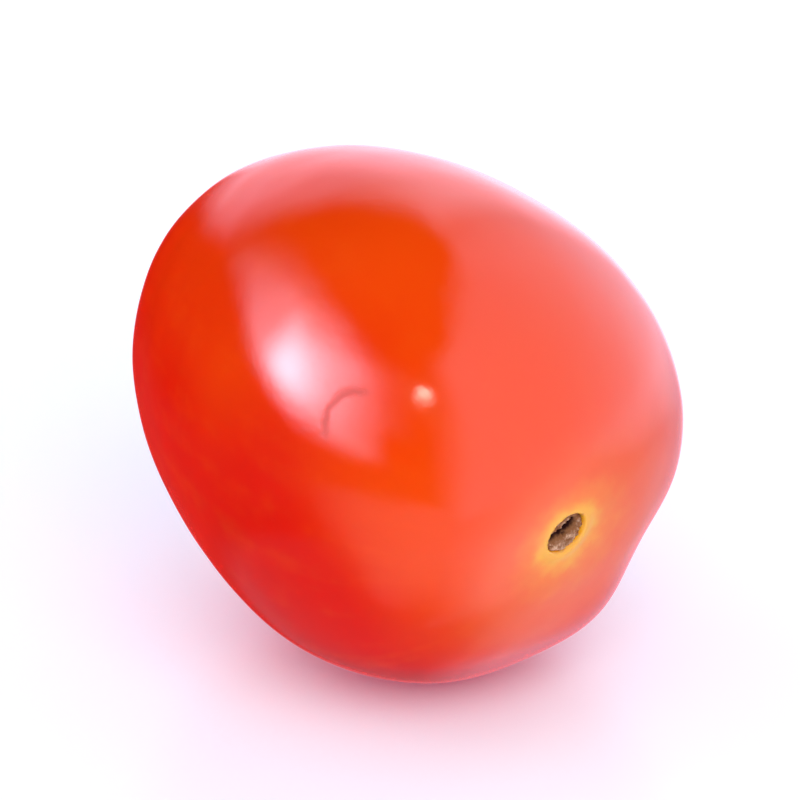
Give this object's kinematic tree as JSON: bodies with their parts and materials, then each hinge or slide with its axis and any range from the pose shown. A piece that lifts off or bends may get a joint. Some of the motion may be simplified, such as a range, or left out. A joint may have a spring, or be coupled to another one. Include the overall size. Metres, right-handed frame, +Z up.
{
  "type": "cherry tomato",
  "caption": "Whole plum-shaped cherry tomato without its calyx, lying on its side on a small flat spot, with a corky stem scar.",
  "frame": {"origin": "middle of the bounding box's bottom, on the surface that the fruit lies on", "axes": "+X from the blossom end to the stem end, +Z up, away from the flat spot that it rests on"},
  "size_m": [0.0322, 0.0256, 0.026],
  "materials": {
    "tomato_skin": "smooth waxy gloss"
  },
  "bodies": {
    "root": {"fruit": "tomato_skin"}
  },
  "joints": []
}
